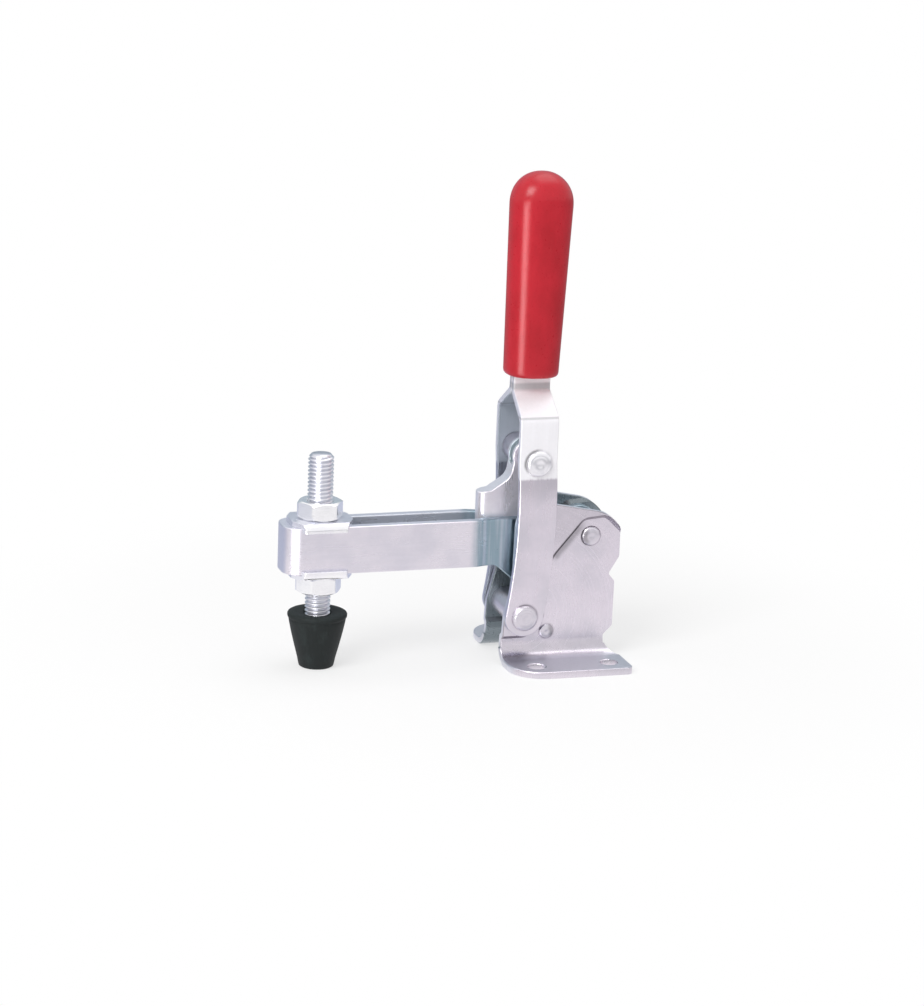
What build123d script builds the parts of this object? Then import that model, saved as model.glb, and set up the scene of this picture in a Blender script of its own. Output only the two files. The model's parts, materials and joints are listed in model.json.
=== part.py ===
from build123d import *
import os
from math import atan, cos, degrees, radians, sin, tan

# Vertical-handle hold-down toggle clamp with a U-bar arm and a rubber-capped clamping spindle.
# Millimetres, +Z up. The origin is the centre of the four base holes, on the underside of the flanges.
# The arm reaches towards -X, and the handle swings back towards +X to open the clamp.
# The near side is -Y. Side outlines are drawn as (X, Z), and every "depth" below is a distance from
# the middle plane Y = 0 towards the near side, so a far piece is the mirror image of a near one.

# Pivots, as (X, Z)
HANDLE_PIVOT = (-13.8, 15.7)
ARM_PIVOT = (8.4, 40.4)
LINK_PIVOT = (-11.2, 65.7)
OVER_CENTRE = 0.6

# Clearances
SIDE_PLAY = 0.2
PIN_PLAY = 0.05
HEAD_PLAY = 0.1

# How far a cutter or a blank runs past the piece that it makes
OVERRUN = 10.0

# Pressed sheet base
BASE_SHEET = 2.2
BASE_FRONT = -20.3
BASE_TOE = (-19.7, 16.0)
BASE_WAIST = (-17.2, 26.0)
BASE_FRONT_TOP = (-16.6, 54.0)
BASE_TOP_REAR = (14.2, 47.9)
BASE_SHOULDER = (18.2, 42.5)
BASE_REAR = 18.2
BASE_ROUNDS = (3.0, 5.0, 8.0, 12.0, 4.0)
NOTCH_BOTTOM = 25.2
NOTCH_FLOOR_RISE = 2.55
NOTCH_HEIGHT = 8.1
NOTCH_DEPTH = 3.4
NOTCH_LIP = 0.2
NOTCH_ROUNDS = (2.0, 1.0, 1.0, 1.0)
BASE_HEEL = 16.7
RELIEF_TOP = 10.6
RELIEF_WIDTH = 2.9
RELIEF_BOTTOM = 5.0
SWELL = 1.4
SWELL_RAMP = 1.2
SWELL_MARGIN = 0.3
SWELL_FOOT_ROUND = 4.5
SWELL_WAIST_ROUND = 9.0
SWELL_WAIST_RISE = 7.0
SWELL_STEP_FRONT = 12.4
SWELL_STEP_DROP = 6.6
SWELL_CREST_FRONT = 2.4
SWELL_CREST_REAR = 4.6
SWELL_CREST_RISE = 5.2
SWELL_CREST_SLOPE = 0.7
SWELL_CREST_ROUND = 3.0
SWELL_TAIL_DROP = 9.0

# Base flanges and their holes
FLANGE_MARGIN = 7.0
FLANGE_FRONT = -20.5
FLANGE_REAR = 17.9
FLANGE_REAR_INNER = 13.8
FLANGE_FRONT_ROUND = 11.0
FLANGE_REAR_ROUND = 2.0
BEND_RADIUS = 5.0
HOLE_SPACING_X = 24.0
HOLE_SPACING_Y = 42.0
HOLE_DIAMETER = 5.8

# U-bar arm, bent from flat strip
STRIP_HEIGHT = 15.0
STRIP_THICKNESS = 3.2
ARM_SLOT = 8.8
ARM_FRONT = -90.5
ARM_CORNER = 5.6
ARM_UNDERSIDE = 31.6
JOGGLE_FRONT = -28.6
JOGGLE_LENGTH = 3.4
CHEEK_DROP = 5.8
CHEEK_START = -22.0
ARM_EYE = 6.7
LINK_HOLE_RISE = 7.9
ARM_BEND_ROUND = 2.0
CHEEK_RUN = 6.7
CHEEK_REAR = 8.6
CHEEK_ROUNDS = (3.0, 3.0, 5.0)

# Link, one folded channel that runs inside the arm
LINK_WIDTH = 6.2
LINK_SHEET = 1.6
LINK_EYE = 5.2
LINK_FRONT = -27.2
LINK_WEB_TOP = 54.4
LINK_WEB_BOTTOM = 37.0
LINK_WEB_FOOT = 6.0
LINK_THROAT = 4.6
LINK_SHOULDER = 4.0
LINK_NECK_LEAN = 0.6
LINK_THROAT_ROUND = 5.0
LINK_FOOT_ROUND = 2.0
LINK_FRONT_ROUND = 2.9
LINK_WEB_END = 3.0

# Handle, two folded strips that meet inside the grip
HANDLE_SHEET = 2.2
HANDLE_WIDTH = 12.4
HANDLE_BOW = 1.5
TANG_WIDTH = 12.0
TANG_LENGTH = 51.0
TANG_GAP = 0.1
BEND_ABOVE_LINK = 14.4
BEND_SHIFT = 0.1
HANDLE_BEND_RISE = 7.0
HANDLE_BEND_RADIUS = 1.2

# Grip, an oval moulding
GRIP_ABOVE_BEND = 4.4
GRIP_LENGTH = 64.4
GRIP_WIDTH_BOTTOM = 17.0
GRIP_WIDTH_TOP = 20.4
GRIP_THICKNESS = 16.2
GRIP_LEAN_DEG = 1.5
GRIP_CROWN_EASE = 0.4

# Rivets and spacers
PIVOT_SHANK = 3.0
PIVOT_HEAD = 4.2
PIVOT_HEAD_HEIGHT = 1.7
ARM_PIVOT_HEAD = 3.1
ARM_PIVOT_HEAD_HEIGHT = 0.9
ARM_LINK_SHANK = 2.5
ARM_LINK_HEAD = 3.8
ARM_LINK_HEAD_HEIGHT = 1.2
BASE_RIVET = (-5.4, 9.8)
BASE_RIVET_SHANK = 1.6
BASE_RIVET_HEAD = 2.4
BASE_RIVET_HEAD_HEIGHT = 0.9
HEAD_RIM_SHARE = 0.45
HEAD_FLAT_SHARE = 0.62
SPACER_WALL = 1.5

# Spindle, M8, with its nuts, flanged washers and rubber cap
SPINDLE_X = -78.0
THREAD = 8.0
SPINDLE_TOP = 68.6
SPINDLE_CHAMFER = 0.9
NUT_FLATS = 13.0
NUT_HEIGHT = 5.6
NUT_CHAMFER = 0.7
WASHER_SHEET = 1.6
WASHER_LENGTH = 19.6
WASHER_LIP = 13.4
WASHER_LIP_DROP = 3.2
WASHER_POINT_WIDTH = 7.0
WASHER_PLAY = 0.15
WASHER_BEND_INSIDE = 0.6
WASHER_CORNER_ROUND = 1.2
CAP_DIAMETER = 18.8
CAP_TIP_DIAMETER = 11.2
CAP_HEIGHT = 17.6
CAP_RIM = 1.3
CAP_TIP_CHAMFER = 0.8
CAP_SOCKET = 11.0

# Depths of the layers, from the middle plane outwards
LINK_OUTER = LINK_WIDTH / 2
LEG_INNER = LINK_OUTER + SIDE_PLAY
LEG_OUTER = LEG_INNER + STRIP_THICKNESS
BASE_INNER = LEG_OUTER + SIDE_PLAY
BASE_OUTER = BASE_INNER + BASE_SHEET
SWELL_INNER = BASE_INNER + SWELL
SWELL_OUTER = BASE_OUTER + SWELL
HANDLE_INNER = SWELL_OUTER + SIDE_PLAY
HANDLE_OUTER = HANDLE_INNER + HANDLE_SHEET

# Places that follow from the sizes above
HANDLE_LEAN = (LINK_PIVOT[0] - HANDLE_PIVOT[0]) / (LINK_PIVOT[1] - HANDLE_PIVOT[1])
ARM_TOP = ARM_UNDERSIDE + STRIP_HEIGHT
ARM_LINK_HEIGHT = ARM_UNDERSIDE + LINK_HOLE_RISE
FLANGE_REACH = HOLE_SPACING_Y / 2 + FLANGE_MARGIN
HANDLE_BEND = LINK_PIVOT[1] + BEND_ABOVE_LINK
UPPER_BEND = HANDLE_BEND + HANDLE_BEND_RISE
GRIP_BOTTOM = UPPER_BEND + GRIP_ABOVE_BEND
TANG_TOP = GRIP_BOTTOM + TANG_LENGTH
NEAR_SIDE = Plane.XZ


def handle_line(height):
    """X at a height on the straight line through the handle's two pivots."""
    return HANDLE_PIVOT[0] + HANDLE_LEAN * (height - HANDLE_PIVOT[1])


def grip_line(height):
    """X of the grip's centre line above the bend."""
    return LINK_PIVOT[0] + BEND_SHIFT + tan(radians(GRIP_LEAN_DEG)) * (height - HANDLE_BEND)


ARM_LINK_PIVOT = (handle_line(ARM_LINK_HEIGHT) + OVER_CENTRE, ARM_LINK_HEIGHT)


def slab(sketch, inner, outer):
    """Side outline made solid between two depths."""
    return extrude(NEAR_SIDE.offset(inner) * sketch, outer - inner, dir=(0, -1, 0))


def along_x(section, low, high):
    """Section drawn as (depth, Z) made solid between two X positions."""
    plane = Plane(origin=(low, 0, 0), x_dir=(0, -1, 0), z_dir=(-1, 0, 0))
    return extrude(plane * section, high - low, dir=(1, 0, 0))


def rise(plan, low, high):
    """Plan made solid between two heights."""
    return extrude(Pos(0, 0, low) * plan, high - low, dir=(0, 0, 1))


def rounded(outline, corners):
    """Outline with the corners nearest to the given points rounded, from (point, radius) pairs."""
    for point, radius in corners:
        x, y = point
        corner = min(outline.vertices(), key=lambda v: (v.X - x) ** 2 + (v.Y - y) ** 2)
        outline = fillet(corner, radius)
    return outline


def disc(pivot, radius):
    """Round side outline about a pivot."""
    return Pos(*pivot) * Circle(radius)


def pin_hole(pivot, radius):
    """Cutter for a hole through the whole width of the clamp."""
    return slab(disc(pivot, radius), -2 * HANDLE_OUTER, 2 * HANDLE_OUTER)


def tube(pivot, radius, wall, inner, outer):
    """Spacer tube on a pivot, radius being that of its bore."""
    return slab(disc(pivot, radius + wall) - disc(pivot, radius), inner, outer)


def formed_head(depth, radius, height):
    """Half profile of a rivet head that is pressed to a low flat crown, in (radius, depth)."""
    rim = (radius, depth + HEAD_RIM_SHARE * height)
    crown = (HEAD_FLAT_SHARE * radius, depth + height)
    return Polygon((0, depth), (radius, depth), rim, crown, (0, depth + height), align=None)


def head(pivot, depth, radius, height):
    """Near head of a rivet."""
    solid = revolve(formed_head(depth, radius, height), Axis.Y)
    return Pos(pivot[0], 0, pivot[1]) * mirror(solid, about=Plane.XZ)


def rivet(pivot, shank, half_length, radius, height):
    """Rivet through the whole width, with a formed head on each side."""
    near = head(pivot, half_length, radius, height)
    body = slab(disc(pivot, shank), -half_length, half_length)
    return body + near + mirror(near, about=Plane.XZ)


def base_side_outline():
    """Side view of a base plate above its flange bend."""
    relief = (BASE_HEEL - RELIEF_WIDTH, RELIEF_TOP - RELIEF_WIDTH)
    points = [
        (BASE_FRONT, RELIEF_BOTTOM),
        BASE_TOE,
        BASE_WAIST,
        BASE_FRONT_TOP,
        BASE_TOP_REAR,
        BASE_SHOULDER,
        (BASE_REAR, NOTCH_BOTTOM + NOTCH_HEIGHT),
        (BASE_REAR - NOTCH_DEPTH, NOTCH_BOTTOM + NOTCH_FLOOR_RISE),
        (BASE_HEEL + NOTCH_LIP, NOTCH_BOTTOM),
        (BASE_HEEL, RELIEF_TOP),
        relief,
        (relief[0], RELIEF_BOTTOM),
    ]
    return rounded(Polygon(*points, align=None), zip(points[1:], BASE_ROUNDS + NOTCH_ROUNDS))


def swell_outline(inset):
    """Side view of the pressed-out zone of a base plate, open at the plate's front and top."""
    beyond = BASE_FRONT - OVERRUN
    above = BASE_FRONT_TOP[1] + OVERRUN
    around = HANDLE_WIDTH / 2 + SWELL_MARGIN + SWELL_RAMP
    rear = HANDLE_PIVOT[0] + around
    corner = around / 4
    points = [
        (beyond, HANDLE_PIVOT[1] - around),
        (rear - 3 * corner, HANDLE_PIVOT[1] - around),
        (rear, HANDLE_PIVOT[1] - corner),
        (rear, HANDLE_PIVOT[1] + SWELL_WAIST_RISE),
        (ARM_PIVOT[0] - SWELL_STEP_FRONT, ARM_PIVOT[1] - SWELL_STEP_DROP),
        (ARM_PIVOT[0] - SWELL_CREST_FRONT, ARM_PIVOT[1] + SWELL_CREST_RISE),
        (ARM_PIVOT[0] + SWELL_CREST_REAR, ARM_PIVOT[1] + SWELL_CREST_RISE + SWELL_CREST_SLOPE),
        (BASE_REAR + OVERRUN, ARM_PIVOT[1] - SWELL_TAIL_DROP),
        (BASE_REAR + OVERRUN, above),
        (beyond, above),
    ]
    radii = [SWELL_FOOT_ROUND] * 2 + [SWELL_WAIST_ROUND] * 2 + [SWELL_CREST_ROUND] * 2
    outline = rounded(Polygon(*points, align=None), zip(points[1:], radii))
    return offset(outline, amount=-inset, kind=Kind.INTERSECTION) if inset else outline


def flange_outline():
    """Plan of the near flange."""
    points = [
        (FLANGE_FRONT, -BASE_INNER),
        (FLANGE_FRONT, -FLANGE_REACH),
        (FLANGE_REAR, -FLANGE_REACH),
        (FLANGE_REAR, -BASE_OUTER - BEND_RADIUS),
        (FLANGE_REAR_INNER, -BASE_OUTER),
        (FLANGE_REAR_INNER, -BASE_INNER),
    ]
    rounds = ((points[1], FLANGE_FRONT_ROUND), (points[2], FLANGE_REAR_ROUND))
    outline = rounded(Polygon(*points, align=None), rounds)
    for side in (-1, 1):
        outline -= Pos(side * HOLE_SPACING_X / 2, -HOLE_SPACING_Y / 2) * Circle(HOLE_DIAMETER / 2)
    return outline


def base_section():
    """Section of the near plate and flange, as (depth, Z)."""
    tall = BASE_FRONT_TOP[1] + OVERRUN
    points = [
        (BASE_INNER, 0),
        (FLANGE_REACH, 0),
        (FLANGE_REACH, BASE_SHEET),
        (BASE_OUTER, BASE_SHEET),
        (BASE_OUTER, tall),
        (BASE_INNER, tall),
    ]
    rounds = ((points[0], BEND_RADIUS + BASE_SHEET), (points[3], BEND_RADIUS))
    return rounded(Polygon(*points, align=None), rounds)


def near_base_plate():
    """Near base plate, with its swell, its flange and its three rivet holes."""
    folded = along_x(base_section(), FLANGE_FRONT - OVERRUN, BASE_REAR + OVERRUN)
    side = slab(base_side_outline(), 0, SWELL_OUTER + OVERRUN)
    upright = folded & side
    ramp = degrees(atan(SWELL_RAMP / SWELL))
    turn = tan(radians(90 - ramp) / 2)
    swell = extrude(NEAR_SIDE.offset(BASE_OUTER) * swell_outline(0), SWELL, taper=ramp)
    pocket = extrude(NEAR_SIDE.offset(BASE_INNER) * swell_outline(BASE_SHEET * turn), SWELL, taper=ramp)
    upright = upright + (swell & side) - pocket
    flange = folded & rise(flange_outline(), 0, RELIEF_BOTTOM)
    plate = upright + flange
    for pivot in (HANDLE_PIVOT, ARM_PIVOT):
        plate -= pin_hole(pivot, PIVOT_SHANK)
    return plate - pin_hole(BASE_RIVET, BASE_RIVET_SHANK)


def arm_plan():
    """Plan of the U-bar: strip bent round the front, with its legs joggled closer at the rear."""
    front_outer = ARM_SLOT / 2 + STRIP_THICKNESS
    front_inner = ARM_SLOT / 2
    joggle_rear = JOGGLE_FRONT + JOGGLE_LENGTH
    rear = ARM_PIVOT[0] + ARM_EYE + OVERRUN

    def outline(front, wide, narrow, end, corner_radius):
        near = [(front, -wide), (JOGGLE_FRONT, -wide), (joggle_rear, -narrow), (end, -narrow)]
        shape = Polygon(*near, *[(x, -y) for x, y in reversed(near)], align=None)
        corners = shape.vertices().sort_by(Axis.X)[0:2]
        shape = fillet(corners, corner_radius)
        bends = [v for v in shape.vertices() if abs(v.X - (JOGGLE_FRONT + joggle_rear) / 2) < JOGGLE_LENGTH]
        return fillet(bends, ARM_BEND_ROUND)

    outer = outline(ARM_FRONT, front_outer, LEG_OUTER, rear, ARM_CORNER)
    bend_inside = ARM_CORNER - STRIP_THICKNESS
    inner = outline(ARM_FRONT + STRIP_THICKNESS, front_inner, LEG_INNER, rear + OVERRUN, bend_inside)
    return outer - inner


def arm_side_outline():
    """Side view of the U-bar, with the deeper cheeks that carry its two pivots."""
    cheek_bottom = ARM_UNDERSIDE - CHEEK_DROP
    points = [
        (ARM_FRONT - OVERRUN, ARM_UNDERSIDE),
        (CHEEK_START, ARM_UNDERSIDE),
        (CHEEK_START + CHEEK_RUN, cheek_bottom),
        (ARM_LINK_PIVOT[0] + CHEEK_REAR, cheek_bottom),
        (ARM_PIVOT[0], ARM_PIVOT[1] - ARM_EYE),
        (ARM_PIVOT[0], ARM_TOP),
        (ARM_FRONT - OVERRUN, ARM_TOP),
    ]
    outline = rounded(Polygon(*points, align=None), zip(points[1:], CHEEK_ROUNDS))
    return outline + disc(ARM_PIVOT, ARM_EYE)


def u_bar():
    """Clamping arm."""
    plan = rise(arm_plan(), 0, ARM_TOP + ARM_EYE)
    side = slab(arm_side_outline(), -HANDLE_OUTER, HANDLE_OUTER)
    bar = plan & side
    bar -= pin_hole(ARM_PIVOT, PIVOT_SHANK + PIN_PLAY)
    bar -= pin_hole(ARM_LINK_PIVOT, ARM_LINK_SHANK)
    return bar


def link_side_outline():
    """Side view of the link channel: two eyes, and a web that stands well in front of them."""
    hull = [
        (LINK_PIVOT[0] + LINK_EYE - LINK_NECK_LEAN, LINK_PIVOT[1]),
        (LINK_PIVOT[0] - LINK_EYE + LINK_NECK_LEAN, LINK_PIVOT[1]),
        (LINK_PIVOT[0] - LINK_EYE - LINK_NECK_LEAN, LINK_WEB_TOP + LINK_THROAT),
        (LINK_FRONT + LINK_SHOULDER, LINK_WEB_TOP + LINK_NECK_LEAN),
        (LINK_FRONT, LINK_WEB_TOP),
        (LINK_FRONT, LINK_WEB_BOTTOM),
        (LINK_FRONT + LINK_WEB_FOOT, ARM_LINK_PIVOT[1] - LINK_EYE),
        (ARM_LINK_PIVOT[0], ARM_LINK_PIVOT[1] - LINK_EYE),
        (ARM_LINK_PIVOT[0] + LINK_EYE, ARM_LINK_PIVOT[1]),
    ]
    outline = rounded(Polygon(*hull, align=None), ((hull[2], LINK_THROAT_ROUND), (hull[5], LINK_FOOT_ROUND)))
    return outline + disc(LINK_PIVOT, LINK_EYE) + disc(ARM_LINK_PIVOT, LINK_EYE)


def link_hollow_outline():
    """Side view of the space inside the channel: the web follows its front, and its rear is open."""
    inside = offset(link_side_outline(), amount=-LINK_SHEET)
    rear = LINK_PIVOT[0] + LINK_EYE + OVERRUN
    top = LINK_PIVOT[1] - LINK_WEB_END
    foot = ARM_LINK_PIVOT[1] - LINK_EYE - OVERRUN
    behind = Polygon(
        (ARM_LINK_PIVOT[0], foot), ARM_LINK_PIVOT, (LINK_PIVOT[0], top), (rear, top), (rear, foot), align=None
    )
    above = Pos(LINK_FRONT, top) * Rectangle(rear - LINK_FRONT, 2 * OVERRUN, align=(Align.MIN, Align.MIN))
    return inside + behind + above


def link_channel():
    """Link between the handle and the arm, one folded channel."""
    rear = LINK_PIVOT[0] + LINK_EYE + OVERRUN
    plan = Pos((LINK_FRONT + rear) / 2, 0) * Rectangle(rear - LINK_FRONT, LINK_WIDTH)
    plan = fillet(plan.vertices().sort_by(Axis.X)[0:2], LINK_FRONT_ROUND)
    half = LINK_WIDTH / 2
    channel = rise(plan, 0, LINK_PIVOT[1] + LINK_EYE + OVERRUN) & slab(link_side_outline(), -half, half)
    channel -= slab(link_hollow_outline(), LINK_SHEET - half, half - LINK_SHEET)
    channel -= pin_hole(LINK_PIVOT, PIVOT_SHANK + PIN_PLAY)
    channel -= pin_hole(ARM_LINK_PIVOT, ARM_LINK_SHANK)
    return channel


def ribbon(stations):
    """Side outline about a centre line, from (X, Z, half width) stations."""
    front = [(x - half, z) for x, z, half in stations]
    rear = [(x + half, z) for x, z, half in reversed(stations)]
    return Polygon(*front, *rear, align=None)


def handle_section():
    """Section of the near handle strip, as (depth, Z), folded in twice to reach the grip."""
    tang_inner = TANG_GAP / 2
    tang_outer = tang_inner + HANDLE_SHEET
    slope = atan((HANDLE_OUTER - tang_outer) / HANDLE_BEND_RISE)
    shift = HANDLE_SHEET * tan(slope / 2)
    bottom = HANDLE_PIVOT[1] - HANDLE_WIDTH
    points = [
        (HANDLE_INNER, bottom),
        (HANDLE_OUTER, bottom),
        (HANDLE_OUTER, HANDLE_BEND),
        (tang_outer, UPPER_BEND),
        (tang_outer, TANG_TOP),
        (tang_inner, TANG_TOP),
        (tang_inner, UPPER_BEND - shift),
        (HANDLE_INNER, HANDLE_BEND - shift),
    ]
    inside = HANDLE_BEND_RADIUS
    outside = inside + HANDLE_SHEET
    rounds = ((points[2], outside), (points[3], inside), (points[6], outside), (points[7], inside))
    return rounded(Polygon(*points, align=None), rounds)


def tang_stations(low):
    """Stations of the straight tang from a height up to its end."""
    return [(grip_line(z), z, TANG_WIDTH / 2) for z in (low, TANG_TOP)]


def handle_side_outline():
    """Side view of a handle strip: bowed to the rear between its pivots, then straight up into the grip."""
    half = HANDLE_WIDTH / 2
    halfway = (LINK_PIVOT[1] + HANDLE_PIVOT[1]) / 2
    bow = ThreePointArc(HANDLE_PIVOT, (handle_line(halfway) + HANDLE_BOW, halfway), LINK_PIVOT)
    upper = [(*LINK_PIVOT, half), (grip_line(HANDLE_BEND), HANDLE_BEND, half), *tang_stations(UPPER_BEND)]
    return SlotArc(bow, HANDLE_WIDTH), ribbon(upper)


def near_handle_plate():
    """Near handle strip."""
    front = handle_line(HANDLE_PIVOT[1]) - HANDLE_WIDTH
    folded = along_x(handle_section(), front, grip_line(TANG_TOP) + HANDLE_WIDTH)
    lower, upper = (slab(outline, 0, HANDLE_OUTER) for outline in handle_side_outline())
    plate = folded & (lower + upper)
    plate -= pin_hole(HANDLE_PIVOT, PIVOT_SHANK + PIN_PLAY)
    plate -= pin_hole(LINK_PIVOT, PIVOT_SHANK)
    return plate


def grip_crown(half_width):
    """Outline with a round top that clears the grip's sides, drawn as (across, along)."""
    radius = half_width + GRIP_CROWN_EASE
    below = Pos(0, (GRIP_LENGTH - radius) / 2) * Rectangle(2 * (radius + OVERRUN), GRIP_LENGTH - radius)
    return below + Pos(0, GRIP_LENGTH - radius) * Circle(radius)


def grip():
    """Grip over the two tangs: two round sides that lean apart, flat between, under a crossed round crown."""
    low = (GRIP_WIDTH_BOTTOM - GRIP_THICKNESS) / 2
    high = (GRIP_WIDTH_TOP - GRIP_THICKNESS) / 2
    half = GRIP_THICKNESS / 2
    lean = atan((high - low) / GRIP_LENGTH)
    middle = Polygon((-low, 0), (-high, GRIP_LENGTH), (high, GRIP_LENGTH), (low, 0), align=None)
    body = extrude(NEAR_SIDE * middle, half, both=True)
    for side in (-1, 1):
        round_side = Cylinder(half, GRIP_LENGTH + 2 * OVERRUN, align=(Align.CENTER, Align.CENTER, Align.MIN))
        start = Pos(side * low, 0, 0) * Rot(0, side * degrees(lean), 0) * Pos(0, 0, -OVERRUN)
        body += start * round_side
    body &= extrude(Plane.XZ * grip_crown(GRIP_WIDTH_TOP / 2), GRIP_WIDTH_TOP, both=True)
    body &= extrude(Plane.YZ * grip_crown(half), GRIP_WIDTH_TOP, both=True)
    placed = Pos(grip_line(GRIP_BOTTOM), 0, GRIP_BOTTOM) * Rot(0, GRIP_LEAN_DEG, 0) * body
    tangs = TANG_GAP / 2 + HANDLE_SHEET
    return placed - slab(ribbon(tang_stations(UPPER_BEND)), -tangs, tangs)


def nut(base_height):
    """Hexagon nut with a flat towards the near side, chamfered at both ends."""
    corner = NUT_FLATS / 2 / cos(radians(30))
    body = extrude(RegularPolygon(corner, 6, rotation=0), NUT_HEIGHT)
    widest = corner + NUT_CHAMFER
    cone = [
        (0, 0),
        (corner - NUT_CHAMFER, 0),
        (widest, 2 * NUT_CHAMFER * tan(radians(30))),
        (widest, NUT_HEIGHT - 2 * NUT_CHAMFER * tan(radians(30))),
        (corner - NUT_CHAMFER, NUT_HEIGHT),
        (0, NUT_HEIGHT),
    ]
    body &= revolve(Plane.XZ * Polygon(*cone, align=None), Axis.Z)
    body -= extrude(Circle(THREAD / 2 + PIN_PLAY), NUT_HEIGHT)
    return Pos(SPINDLE_X, 0, base_height) * body


def flanged_washer():
    """Upper flanged washer: a pointed plate with a lip bent down over each leg of the arm."""
    leg_face = ARM_SLOT / 2 + STRIP_THICKNESS + WASHER_PLAY
    half = leg_face + WASHER_SHEET
    outside = WASHER_BEND_INSIDE + WASHER_SHEET
    section = Polygon(
        (-half, -WASHER_LIP_DROP), (-leg_face, -WASHER_LIP_DROP), (-leg_face, 0), (leg_face, 0),
        (leg_face, -WASHER_LIP_DROP), (half, -WASHER_LIP_DROP), (half, WASHER_SHEET), (-half, WASHER_SHEET),
        align=None,
    )
    section = fillet(section.vertices().sort_by(Axis.Y)[-2:], outside)
    folded = along_x(section, -WASHER_LENGTH, WASHER_LENGTH)
    tip = WASHER_LENGTH / 2
    lip = WASHER_LIP / 2
    point = WASHER_POINT_WIDTH / 2
    plan = Polygon(
        (-tip, -point), (-lip, -half), (lip, -half), (tip, -point),
        (tip, point), (lip, half), (-lip, half), (-tip, point), align=None,
    )
    plan = fillet(plan.vertices(), WASHER_CORNER_ROUND)
    plate = folded & rise(plan, -WASHER_LIP_DROP, WASHER_SHEET)
    plate -= rise(Circle(THREAD / 2 + WASHER_PLAY), 0, WASHER_SHEET)
    return Pos(SPINDLE_X, 0, ARM_TOP) * plate


def below_the_arm(solid):
    """Same piece turned over to the underside of the arm."""
    middle = (ARM_TOP + ARM_UNDERSIDE) / 2
    return mirror(solid, about=Plane.XY.offset(middle))


def spindle():
    """Threaded spindle at its major diameter, seated in the cap's socket."""
    bottom = CAP_HEIGHT - CAP_SOCKET
    rod = rise(Circle(THREAD / 2), bottom, SPINDLE_TOP)
    ends = rod.edges().filter_by(GeomType.CIRCLE)
    return Pos(SPINDLE_X, 0, 0) * chamfer(ends, SPINDLE_CHAMFER)


def rubber_cap():
    """Tapered rubber cap on the spindle's foot."""
    top = CAP_DIAMETER / 2
    tip = CAP_TIP_DIAMETER / 2
    profile = Polygon(
        (0, 0), (tip - CAP_TIP_CHAMFER, 0), (tip, CAP_TIP_CHAMFER),
        (top, CAP_HEIGHT - CAP_RIM), (top, CAP_HEIGHT), (0, CAP_HEIGHT), align=None,
    )
    body = revolve(Plane.XZ * profile, Axis.Z)
    body -= rise(Circle(THREAD / 2), CAP_HEIGHT - CAP_SOCKET, CAP_HEIGHT)
    return Pos(SPINDLE_X, 0, 0) * body


def parts():
    """Every node of the clamp by name."""
    base = near_base_plate()
    handle = near_handle_plate()
    sleeve = tube(LINK_PIVOT, PIVOT_SHANK, SPACER_WALL, LINK_OUTER + HEAD_PLAY, HANDLE_INNER)
    washer = flanged_washer()
    upper_nut = nut(ARM_TOP + WASHER_SHEET)
    link_head = head(ARM_LINK_PIVOT, LEG_OUTER, ARM_LINK_HEAD, ARM_LINK_HEAD_HEIGHT)
    rivet_end = link_head + slab(disc(ARM_LINK_PIVOT, ARM_LINK_SHANK), LEG_INNER, LEG_OUTER)
    far = Plane.XZ
    return {
        "base_plate_near": base,
        "base_plate_far": mirror(base, about=far),
        "arm_pivot_rivet": rivet(ARM_PIVOT, PIVOT_SHANK, BASE_OUTER, ARM_PIVOT_HEAD, ARM_PIVOT_HEAD_HEIGHT),
        "arm_pivot_spacer": tube(ARM_PIVOT, PIVOT_SHANK + PIN_PLAY, SPACER_WALL, -LEG_INNER, LEG_INNER),
        "handle_pivot_rivet": rivet(
            HANDLE_PIVOT, PIVOT_SHANK, HANDLE_OUTER + HEAD_PLAY, PIVOT_HEAD, PIVOT_HEAD_HEIGHT
        ),
        "handle_pivot_spacer": tube(HANDLE_PIVOT, PIVOT_SHANK, SPACER_WALL, -SWELL_INNER, SWELL_INNER),
        "base_rivet": rivet(
            BASE_RIVET, BASE_RIVET_SHANK, BASE_OUTER, BASE_RIVET_HEAD, BASE_RIVET_HEAD_HEIGHT
        ),
        "base_spacer": tube(BASE_RIVET, BASE_RIVET_SHANK, SPACER_WALL, -BASE_INNER, BASE_INNER),
        "u_bar": u_bar(),
        "arm_link_rivet": rivet_end + mirror(rivet_end, about=far),
        "link_eye_shank": slab(disc(ARM_LINK_PIVOT, ARM_LINK_SHANK), -LINK_OUTER, LINK_OUTER),
        "link_channel": link_channel(),
        "handle_plate_near": handle,
        "handle_plate_far": mirror(handle, about=far),
        "link_rivet": rivet(LINK_PIVOT, PIVOT_SHANK, HANDLE_OUTER, PIVOT_HEAD, PIVOT_HEAD_HEIGHT),
        "link_sleeve_near": sleeve,
        "link_sleeve_far": mirror(sleeve, about=far),
        "grip": grip(),
        "upper_flanged_washer": washer,
        "lower_flanged_washer": below_the_arm(washer),
        "upper_nut": upper_nut,
        "lower_nut": below_the_arm(upper_nut),
        "spindle": spindle(),
        "rubber_cap": rubber_cap(),
    }


def main():
    os.makedirs("parts", exist_ok=True)
    for name, shape in parts().items():
        export_step(shape, f"parts/{name}.step")


main()
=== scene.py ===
"""Toggle clamp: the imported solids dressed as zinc-plated steel, red vinyl and black rubber."""
import json
import logging
import math
from dataclasses import dataclass, field
from enum import Enum
from typing import Dict, List, NamedTuple, Optional, Sequence, Tuple, Union

import bmesh
import bpy
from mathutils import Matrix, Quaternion, Vector

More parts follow.
